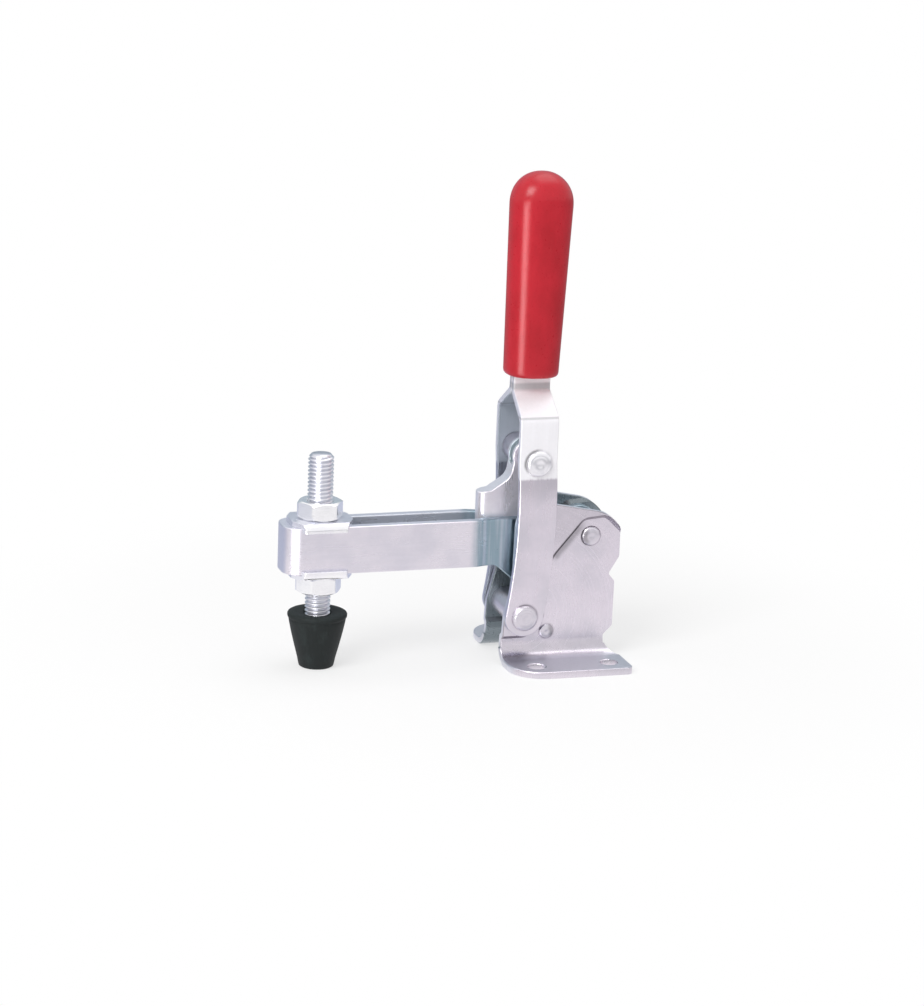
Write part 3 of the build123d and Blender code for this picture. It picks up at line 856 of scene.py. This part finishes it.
@dataclass
class SteelWork:
    """Base plates, arm, link and handle strips.

    The swell's flank is given from the arm's pivot, and the folds and the painted highlight from the link's pivot.
    """

    handle_pivot: Pivot
    link_pivot: Pivot
    arm_pivot: Pivot
    base_rivet: Pivot
    swell_foot: Pivot = (-12.4, -6.6)
    swell_head: Pivot = (-2.4, 5.2)
    swell_angles: Range = (60.0, 110.0)
    thin_depth: float = 8.8
    thin_front: float = 13.0
    outer_fold: float = 14.4
    inner_fold: float = 22.4
    # Drop of the painted highlight's lower edge below the link's pivot.
    sheen_drop: float = 5.6
    lip_cut: float = 1.9
    washer_round: float = 0.12

    @classmethod
    def from_frame(cls) -> "SteelWork":
        """Reads the pivots off the rivets.

        Returns:
            The steel work with its pivots.
        """
        centres = []
        for node in ("handle_pivot_rivet", "link_rivet", "arm_pivot_rivet", "base_rivet"):
            low, high = box_mm(node)
            middle = (low + high) / 2
            centres.append((middle.x, middle.z))
        return cls(*centres)

    def build(self) -> None:
        """Makes and dresses every sheet part."""
        plate, strip = self.plate_finish().material(), self.strip_finish().material()
        arm, link = self.arm_finish().material(), self.link_finish().material()
        washer = self.washer_finish().material()
        for node in ("base_plate_near", "base_plate_far"):
            sheet = SheetPiece(
                node, corner_angles=self.swell_angles, thin_depth=self.thin_depth, thin_front=self.thin_front
            )
            sheet.build().dress(plate, Slot.SHEET, node)
        SheetPiece("u_bar").build().dress(arm, Slot.SHEET, "u_bar")
        SheetPiece("link_channel").build().dress(link, Slot.SHEET, "link_channel")
        for node in ("handle_plate_near", "handle_plate_far"):
            SheetPiece(node).build().dress(strip, Slot.SHEET, node)
        upper = SheetPiece("upper_flanged_washer", round_over=self.washer_round, cut_below=self.lip_cut)
        lower = SheetPiece("lower_flanged_washer", round_over=self.washer_round, cut_above=self.lip_cut)
        for sheet in (upper, lower):
            sheet.build().dress(washer, Slot.SHEET, sheet.node)

    def plate_finish(self) -> RolledZinc:
        """Finish of the base plates."""
        ax, az = self.arm_pivot
        (foot_x, foot_z), (head_x, head_z) = self.swell_foot, self.swell_head
        return RolledZinc(
            "zinc_base",
            grain=(0.7, 0.7, 0.10),
            # Painted shade colour of the inner faces.
            inner_shade=(0.16, 0.23, 0.25),
            swing_pivot=self.handle_pivot,
            # Dirt and painted shade round the rivets.
            dirt_and_shade=(DirtAndShade(self.arm_pivot, 3.0, 185.0, 0.25), DirtAndShade(self.base_rivet, 2.2, 10.0, 0.25)),
            # Painted shade at the foot's bend.
            bend_shades=(BendShade(4.0, 3.8, 0.2),),
            flank_shade=0.5,
            shade_line=((ax + foot_x, az + foot_z), (ax + head_x, az + head_z)),
            raised_depth=(9.4, 10.2),
        )

    def arm_finish(self) -> RolledZinc:
        """Finish of the U-bar."""
        return RolledZinc(
            "zinc_arm",
            face=(0.84, 0.80, 0.855),
            cloud=(0.76, 0.735, 0.80),
            # Painted shade colour of the inner faces and of the part inside the base plates.
            inner_shade=(0.30, 0.40, 0.46),
            grain=(0.05, 0.9, 0.9),
            inner_shade_share=0.45,
            shaded_x=(-31.5, -27.5),
        )

    def strip_finish(self) -> RolledZinc:
        """Finish of the handle strips."""
        # Height of the painted highlight on the strips.
        height = self.link_pivot[1]
        sheen_from = height - self.sheen_drop
        return RolledZinc(
            "zinc_handle",
            edge=(0.62, 0.63, 0.73),
            # Painted shade colour of the inner faces.
            inner_shade=(0.17, 0.22, 0.28),
            grain=(0.9, 0.9, 0.05),
            # Dirt and painted shade round the rivets.
            dirt_and_shade=(DirtAndShade(self.link_pivot, 4.2, 150.0, 0.55), DirtAndShade(self.handle_pivot, 4.0, 60.0, 0.3)),
            # Painted shade along the strip's folds.
            bend_shades=(BendShade(height + self.inner_fold, 1.7, 0.42), BendShade(height + self.outer_fold, 0.5, 0.3)),
            sheen_z=(sheen_from, sheen_from + 1.0),
        )

    def link_finish(self) -> RolledZinc:
        """Finish of the link."""
        return RolledZinc("zinc_link", face=(0.84, 0.81, 0.86), grain=(0.8, 0.8, 0.06), metallic=0.55)

    def washer_finish(self) -> RolledZinc:
        """Finish of the flanged washers."""
        return RolledZinc(
            "zinc_washer",
            face=(0.99, 0.98, 1.0),
            cloud=(0.93, 0.92, 0.95),
            grain=(0.5, 0.5, 0.5),
            roughness=0.2,
            inner_shade_share=0.4,
        )


@dataclass
class Rivet:
    """Rivet with a pressed head on each side."""

    node: str
    head_height: float
    shank: float
    count: int = 72
    halves: bool = False
    inner: float = 0.0

    def head_profile(self, radius: float, foot: float) -> List[Pair]:
        """Profile of one head, from its centre to the shank.

        Args:
            radius: radius of the head.
            foot: distance of its underside from the middle plane.

        Returns:
            (radius, distance) pairs.
        """
        height = self.head_height
        shares = (
            (0.06, 0.90), (0.16, 0.90), (0.22, 0.97), (0.34, 1.00), (0.56, 0.99), (0.64, 0.90), (0.67, 0.88),
            (0.72, 0.90), (0.84, 0.74), (0.93, 0.52), (0.985, 0.28), (1.0, 0.10), (0.985, 0.0),
        )
        return [(radius * r, foot + height * h) for r, h in shares] + [(self.shank, foot)]

    def build(self) -> Piece:
        """Makes the rivet.

        Returns:
            The piece.
        """
        low, high = box_mm(self.node)
        radius = (high.x - low.x) / 2
        foot = high.y - self.head_height
        centre = ((low.x + high.x) / 2, 0.0, (low.z + high.z) / 2)
        head = self.head_profile(radius, foot)
        if not self.halves:
            profile = head + [(r, -y) for r, y in reversed(head)]
            return skin(f"{self.node}_shown", turned(profile, Axis.Y, centre, self.count))
        near = skin(f"{self.node}_shown", turned(head + [(self.shank, self.inner)], Axis.Y, centre, self.count))
        far_profile = [(r, -y) for r, y in head] + [(self.shank, -self.inner)]
        far = skin(f"{self.node}_far", turned(far_profile, Axis.Y, centre, self.count))
        joined = bmesh.new()
        joined.from_mesh(near.shape.data)
        joined.from_mesh(far.shape.data)
        joined.to_mesh(near.shape.data)
        joined.free()
        spare = far.shape.data
        bpy.data.objects.remove(far.shape)
        bpy.data.meshes.remove(spare)
        smooth_faces(near.shape.data, 40.0)
        return near


@dataclass
class Rivets:
    """Every rivet, and the tubes and sleeves on them."""

    link_gap: float = 3.3
    # The link rivet's head is given a whiter face than the other rivets.
    whiter_head: Colour = (0.95, 0.94, 0.96)
    # Painted shade on one side of each rivet head.
    side_shades: Dict[str, SideShade] = field(
        default_factory=lambda: {
            "arm_pivot_rivet": SideShade(185.0, 1.0, 0.42),
            "base_rivet": SideShade(10.0, 0.5, 0.40),
            "handle_pivot_rivet": SideShade(60.0, 3.0, 0.25),
            "link_rivet": SideShade(150.0, 3.2, 0.40),
        }
    )

    def build(self) -> None:
        """Makes and dresses the rivets and tubes."""
        rivets = (
            Rivet("handle_pivot_rivet", 1.7, 3.0),
            Rivet("link_rivet", 1.7, 3.0),
            Rivet("arm_pivot_rivet", 0.9, 3.0),
            Rivet("base_rivet", 0.9, 1.6),
            Rivet("arm_link_rivet", 1.2, 2.5, halves=True, inner=self.link_gap),
        )
        for rivet in rivets:
            piece = rivet.build()
            piece.dress(self.finish(rivet.node), Slot.RIVET, rivet.node)
        for node in (
            "link_eye_shank", "arm_pivot_spacer", "handle_pivot_spacer", "base_spacer",
            "link_sleeve_near", "link_sleeve_far",
        ):
            SheetPiece(node, round_over=0.15).build().dress(self.finish(node), Slot.RIVET, node)

    def finish(self, node: str) -> bpy.types.Material:
        """Finish of a piece that turns about a cross axis.

        Args:
            node: CAD node that gives the axis.

        Returns:
            The material.
        """
        low, high = box_mm(node)
        centre = ((low.x + high.x) / 2, (low.z + high.z) / 2)
        face = self.whiter_head if node == "link_rivet" else TurnedZinc.face
        return TurnedZinc(f"zinc_{node}", Axis.Y, centre, face=face, side_shade=self.side_shades.get(node)).material()


@dataclass
class ClampingSpindle:
    """Threaded spindle with its two nuts and its rubber cap."""

    pitch: float = 1.25
    rows_per_pitch: int = 12
    columns: int = 64
    root_radius: float = 3.28
    thread_depth: float = 0.72
    thread_root_share: float = 0.12
    thread_flank_share: float = 0.66
    chamfer: float = 0.9
    chamfer_slope: float = 0.9
    nut_flats: float = 13.0
    nut_seat_share: float = 0.955
    nut_corner_cut: float = 0.12
    nut_bore: float = 4.05
    nut_sink: float = 4.55
    nut_slope: float = 30.0
    nut_columns: int = 96
    cap_columns: int = 96

    def build(self) -> None:
        """Makes and dresses the spindle, the nuts and the cap."""
        low, high = box_mm("spindle")
        x = (low.x + high.x) / 2
        thread = TurnedZinc(
            "zinc_thread", Axis.Z, (x, 0.0), face=(0.84, 0.84, 0.88), root_radius=self.root_radius
        )
        self.rod(low, high).dress(thread.material(), Slot.FASTENER, "spindle")
        nut_finish = TurnedZinc("zinc_nut", Axis.Z, (x, 0.0), face=(1.0, 1.0, 1.0), roughness=0.12, stain=0.08)
        nut = nut_finish.material()
        for node in ("upper_nut", "lower_nut"):
            self.nut(node, x).dress(nut, Slot.FASTENER, node)
        self.cap(x).dress(Rubber(centre=(x, 0.0)).material(), Slot.RUBBER, "rubber_cap")

    def thread_radius(self, turn: float, radius: float) -> float:
        """Radius of the thread at a place along its helix.

        Args:
            turn: place in pitches.
            radius: major radius.

        Returns:
            The radius.
        """
        share = abs(2 * (turn - math.floor(turn)) - 1)
        flank = min(1.0, max(0.0, (share - self.thread_root_share) / self.thread_flank_share))
        return radius - self.thread_depth * (1 - flank)

    def rod(self, low: Vector, high: Vector) -> Piece:
        """Makes the threaded rod.

        Args:
            low: lowest corner of the box round it.
            high: highest corner of the box round it.

        Returns:
            The piece.
        """
        x, radius, length = (low.x + high.x) / 2, (high.x - low.x) / 2, high.z - low.z
        rows = round(length / self.pitch * self.rows_per_pitch)
        rings = []
        for row in range(rows + 1):
            z = low.z + length * row / rows
            cone = radius - self.chamfer + self.chamfer_slope * min(z - low.z, high.z - z)
            ring = []
            for k in range(self.columns):
                angle = 2 * math.pi * k / self.columns
                r = min(self.thread_radius(z / self.pitch - k / self.columns, radius), cone)
                ring.append((x + r * math.cos(angle), r * math.sin(angle), z))
            rings.append(ring)
        return skin("spindle_shown", rings, split=75.0)

    def nut(self, node: str, x: float) -> Piece:
        """Makes a hexagon nut with chamfered corners and countersunk bore.

        Args:
            node: CAD node that it stands for.
            x: X of its axis.

        Returns:
            The piece.
        """
        low, high = box_mm(node)
        flat = self.nut_flats / 2
        seat = self.nut_seat_share * flat
        corner = flat / math.cos(math.pi / 6) - self.nut_corner_cut
        bore, sink = self.nut_bore, self.nut_sink
        rings: List[Ring] = [[] for _ in range(10)]
        for k in range(self.nut_columns):
            angle = 2 * math.pi * k / self.nut_columns
            side = (angle % (math.pi / 3)) - math.pi / 6
            reach = min(flat / math.cos(side), corner)
            drop = max(0.06, (reach - seat) * math.tan(math.radians(self.nut_slope)))
            profile = (
                (bore, low.z + sink - bore), (sink, low.z), (seat, low.z), (reach - 0.05, low.z + drop),
                (reach, low.z + drop + 0.08), (reach, high.z - drop - 0.08), (reach - 0.05, high.z - drop),
                (seat, high.z), (sink, high.z), (bore, high.z - sink + bore),
            )
            for ring, (r, z) in zip(rings, profile):
                ring.append((x + r * math.cos(angle), r * math.sin(angle), z))
        return skin(f"{node}_shown", rings, tube=True, split=24.0)

    def cap(self, x: float) -> Piece:
        """Makes the rubber cap.

        Args:
            x: X of its axis.

        Returns:
            The piece.
        """
        low, high = box_mm("rubber_cap")
        rim = (high.x - low.x) / 2
        top = high.z
        profile = (
            (1.2, 0.25), (3.6, 0.2), (4.4, 0.0), (5.0, 0.05), (5.45, 0.35), (5.62, 0.85), (6.05, 3.0),
            (7.1, 7.0), (8.2, 11.5), (8.85, 14.6), (9.0, 15.5), (8.92, 15.75), (8.98, 16.0), (rim - 0.08, 16.25),
            (rim, 16.55), (rim, 17.05), (rim - 0.18, 17.4), (rim - 0.55, top), (7.2, top - 0.02), (6.2, top - 0.12),
            (5.6, top - 0.22), (4.9, top - 0.18), (4.35, top - 0.3), (4.02, top - 0.8),
        )
        return skin("rubber_cap_shown", turned(profile, Axis.Z, (x, 0.0, low.z), self.cap_columns), split=50.0)


@dataclass
class Grip:
    """Dipped vinyl grip: an oval that widens upwards, with a round top and a lip at its mouth.

    The mouth's stations are half width, half thickness and height; the lip's are inset and height.
    """

    lean_degrees: float = 1.5
    bottom_half_width: float = 8.5
    top_half_width: float = 10.2
    half_thickness: float = 8.1
    crown_ease: float = 0.4
    squareness: float = 2.35
    mouth: Tuple[Point, ...] = ((6.3, 2.9, 2.4), (6.5, 3.1, 0.35), (6.9, 3.6, 0.0))
    lip: Tuple[Pair, ...] = ((1.3, 0.0), (0.75, 0.08), (0.35, 0.3), (0.1, 0.7), (0.0, 1.3))
    columns: int = 96
    side_rows: int = 40
    crown_rows: int = 26

    def build(self) -> None:
        """Makes and dresses the grip."""
        piece = skin("grip_shown", self.rings(), split=60.0)
        piece.dress(Vinyl().material(), Slot.GRIP, "grip")

    def rings(self) -> List[Ring]:
        """Rings from inside the mouth up to the crown.

        Returns:
            The rings.
        """
        low, high = box_mm("grip")
        lean = math.radians(self.lean_degrees)
        length = (high.z - low.z - self.bottom_half_width * math.sin(lean)) / math.cos(lean)
        foot_x = low.x + self.bottom_half_width * math.cos(lean)
        foot_z = low.z + self.bottom_half_width * math.sin(lean)
        stations = list(self.mouth)
        for inset, rise in self.lip:
            stations.append((self.half_width(rise, length) - inset, self.half_thickness - inset, rise))
        start = stations[-1][2]
        crown = length - self.top_half_width - self.crown_ease
        for row in range(1, self.side_rows + 1):
            s = start + (crown - start) * row / self.side_rows
            stations.append((self.half_width(s, length), self.half_thickness, s))
        for row in range(1, self.crown_rows + 1):
            angle = math.radians(89.0) * row / self.crown_rows
            s = crown + (length - crown) * math.sin(angle)
            wide = self.half_width(s, length) * max(0.03, math.cos(angle)) ** 0.94
            stations.append((wide, self.thickness_at(s, length), s))
        return [self.ring(foot_x, foot_z, lean, *station) for station in stations]

    def half_width(self, s: float, length: float) -> float:
        """Half width at a distance from the mouth."""
        return self.bottom_half_width + (self.top_half_width - self.bottom_half_width) * s / length

    def thickness_at(self, s: float, length: float) -> float:
        """Half thickness in the crown.

        Args:
            s: distance from the mouth.
            length: length of the grip.

        Returns:
            The half thickness.
        """
        radius = self.half_thickness + self.crown_ease
        over = max(0.0, (s - (length - radius)) / radius)
        return self.half_thickness * max(0.03, math.sqrt(max(0.0, 1 - over * over)))

    def ring(self, foot_x: float, foot_z: float, lean: float, wide: float, thick: float, s: float) -> Ring:
        """One oval ring.

        Args:
            foot_x: X of the mouth's centre.
            foot_z: height of the mouth's centre.
            lean: lean in radians.
            wide: half width.
            thick: half thickness.
            s: distance from the mouth.

        Returns:
            Its points.
        """
        power = 2 / self.squareness
        points = []
        for k in range(self.columns):
            angle = 2 * math.pi * k / self.columns
            c, d = math.cos(angle), math.sin(angle)
            across = wide * math.copysign(abs(c) ** power, c)
            depth = thick * math.copysign(abs(d) ** power, d)
            points.append(
                (
                    foot_x + across * math.cos(lean) + s * math.sin(lean),
                    depth,
                    foot_z - across * math.sin(lean) + s * math.cos(lean),
                )
            )
        return points


@dataclass
class Studio:
    """Pale floor, soft light and the camera of the photograph."""

    floor_half: float = 3.0
    floor_colour: Colour = (0.94, 0.94, 0.94)
    behind: Colour = (0.55, 0.58, 0.72)
    beside: Colour = (0.97, 0.96, 0.98)
    near: Colour = (0.92, 0.905, 0.935)
    ahead: Colour = (1.05, 1.045, 1.065)
    distant: Colour = (0.30, 0.30, 0.33)
    behind_from: Range = (10.0, 70.0)
    near_from: Range = (40.0, 70.0)
    ahead_from: Range = (190.0, 230.0)
    distant_from: Range = (290.0, 340.0)
    glare: float = 9.0
    glare_azimuth: float = -51.0
    glare_spread: Range = (0.09, 0.34)
    glare_reach: Range = (150.0, 300.0)
    sky: Colour = (0.96, 0.96, 0.98)
    rear_sky: Colour = (0.40, 0.47, 0.54)
    rear_side: Range = (0.35, 0.75)
    rear_top: Range = (0.42, 0.62)
    fill: float = 0.5
    shadow_share: float = 0.4
    shadow_reach: Range = (70.0, 190.0)
    key_place: Point = (-0.80, -0.65, 0.95)
    key_size: float = 0.7
    key_power: float = 10.0
    top_place: Point = (0.25, 0.15, 1.15)
    top_size: float = 0.8
    top_power: float = 3.0
    azimuth: float = -17.54
    elevation: float = 14.93
    roll: float = 2.02
    distance: float = 1.3
    pixels_per_mm: float = 3.184
    target: Point = (-0.0318, 0.0, 0.0506)
    image_long_side: int = 1006

    def build(self) -> None:
        """Makes the floor, the world, the lamps and the camera."""
        self.floor()
        self.world()
        self.lamp("key", self.key_place, self.key_size, self.key_power)
        self.lamp("top", self.top_place, self.top_size, self.top_power)
        self.camera()
        LOG.info("studio ready")

    def floor(self) -> None:
        """Lays the floor, white to the camera but for the shadow, and shaded by place in the metal."""
        half = self.floor_half
        mesh = bpy.data.meshes.new("floor")
        corners = [(-half, -half, 0.0), (half, -half, 0.0), (half, half, 0.0), (-half, half, 0.0)]
        mesh.from_pydata(corners, [], [(0, 1, 2, 3)])
        floor = bpy.data.objects.new("floor", mesh)
        bpy.context.scene.collection.objects.link(floor)
        material, graph = new_material("pale_floor")
        x, y, _ = graph.parts_of(graph.place())
        reach = ((x - self.target[0] / MM) ** 2.0 + y * y) ** 0.5
        shadow = self.shadow_share * (1.0 - graph.step(reach, *self.shadow_reach))
        ahead = -1.0 * y
        mirrored = graph.mix(graph.step(y, *self.behind_from), self.beside, self.behind)
        mirrored = graph.mix(graph.step(ahead, *self.near_from), mirrored, self.near)
        mirrored = graph.mix(graph.step(ahead, *self.ahead_from), mirrored, self.ahead)
        mirrored = graph.mix(graph.step(reach, *self.distant_from), mirrored, self.distant)
        turn = math.radians(self.glare_azimuth)
        out_along = x * math.sin(turn) - y * math.cos(turn)
        aside = abs(x * math.cos(turn) + y * math.sin(turn)) / graph.maths("MAXIMUM", out_along, 1.0)
        glare = (1.0 - graph.step(aside, *self.glare_spread)) * graph.step(out_along, *self.glare_reach)
        mirrored = graph.mix(glare, mirrored, (self.glare,) * 3)
        paper = graph.add("ShaderNodeBsdfDiffuse", inputs={"Color": rgba(self.floor_colour)})
        glow = graph.add("ShaderNodeEmission", inputs={"Color": (1.0, 1.0, 1.0, 1.0)})
        seen = graph.add("ShaderNodeEmission", inputs={"Color": mirrored})
        camera = graph.add("ShaderNodeLightPath", output="Is Camera Ray")
        glossy = graph.add("ShaderNodeLightPath", output="Is Glossy Ray")
        keys = ("Fac", "Shader", "Shader_001")
        direct = graph.add(
            "ShaderNodeMixShader", inputs=dict(zip(keys, (camera * (1.0 - shadow), paper, glow)))
        )
        surface = graph.add("ShaderNodeMixShader", inputs=dict(zip(keys, (glossy, direct, seen))))
        graph.add("ShaderNodeOutputMaterial", inputs={"Surface": surface})
        mesh.materials.append(material)

    def world(self) -> None:
        """White to the camera, soft fill to the surfaces, and a grey-blue rear wall in the metal."""
        world = bpy.data.worlds.new("studio")
        bpy.context.scene.world = world
        world.use_nodes = True
        graph = Graph(world.node_tree)
        _, y, z = graph.parts_of(graph.add("ShaderNodeTexCoord", output="Generated"))
        rear = graph.step(y, *self.rear_side) * (1.0 - graph.step(z, *self.rear_top))
        mirrored = graph.mix(rear, self.sky, self.rear_sky)
        camera = graph.add("ShaderNodeLightPath", output="Is Camera Ray")
        glossy = graph.add("ShaderNodeLightPath", output="Is Glossy Ray")
        soft = graph.mix(glossy, (self.fill,) * 3, mirrored)
        colour = graph.mix(camera, soft, (1.0, 1.0, 1.0))
        background = graph.add("ShaderNodeBackground", inputs={"Color": colour, "Strength": 1.0})
        graph.add("ShaderNodeOutputWorld", inputs={"Surface": background})

    def lamp(self, name: str, place: Point, size: float, power: float) -> None:
        """Hangs a square soft light that looks at the clamp.

        Args:
            name: name of the light.
            place: where it hangs, in metres.
            size: length of a side.
            power: power in watts.
        """
        data = bpy.data.lights.new(name, "AREA")
        data.shape = "SQUARE"
        data.size = size
        data.energy = power
        lamp = bpy.data.objects.new(name, data)
        lamp.location = place
        lamp.rotation_mode = "QUATERNION"
        lamp.rotation_quaternion = (Vector(self.target) - Vector(place)).to_track_quat("-Z", "Y")
        bpy.context.scene.collection.objects.link(lamp)

    def camera(self) -> None:
        """Places the camera of the photograph."""
        data = bpy.data.cameras.new("photo_camera")
        data.sensor_fit = "AUTO"
        data.sensor_width = 36.0
        data.lens = data.sensor_width * self.pixels_per_mm * self.distance / MM / self.image_long_side
        data.clip_start, data.clip_end = 0.05, 20.0
        camera = bpy.data.objects.new("photo_camera", data)
        bpy.context.scene.collection.objects.link(camera)
        a, e, r = (math.radians(v) for v in (self.azimuth, self.elevation, self.roll))
        back = Vector((math.sin(a) * math.cos(e), -math.cos(a) * math.cos(e), math.sin(e)))
        camera.location = Vector(self.target) + back * self.distance
        level = (-back).to_track_quat("-Z", "Y")
        camera.rotation_mode = "QUATERNION"
        camera.rotation_quaternion = Quaternion(back, r) @ level
        bpy.context.scene.camera = camera


def main() -> None:
    """Builds the clamp and its studio."""
    logging.basicConfig(level=logging.INFO, format="%(message)s")
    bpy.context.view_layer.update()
    bpy.context.scene.view_settings.view_transform = "Standard"
    SteelWork.from_frame().build()
    Rivets().build()
    ClampingSpindle().build()
    Grip().build()
    Studio().build()


if __name__ == "__main__":
    main()
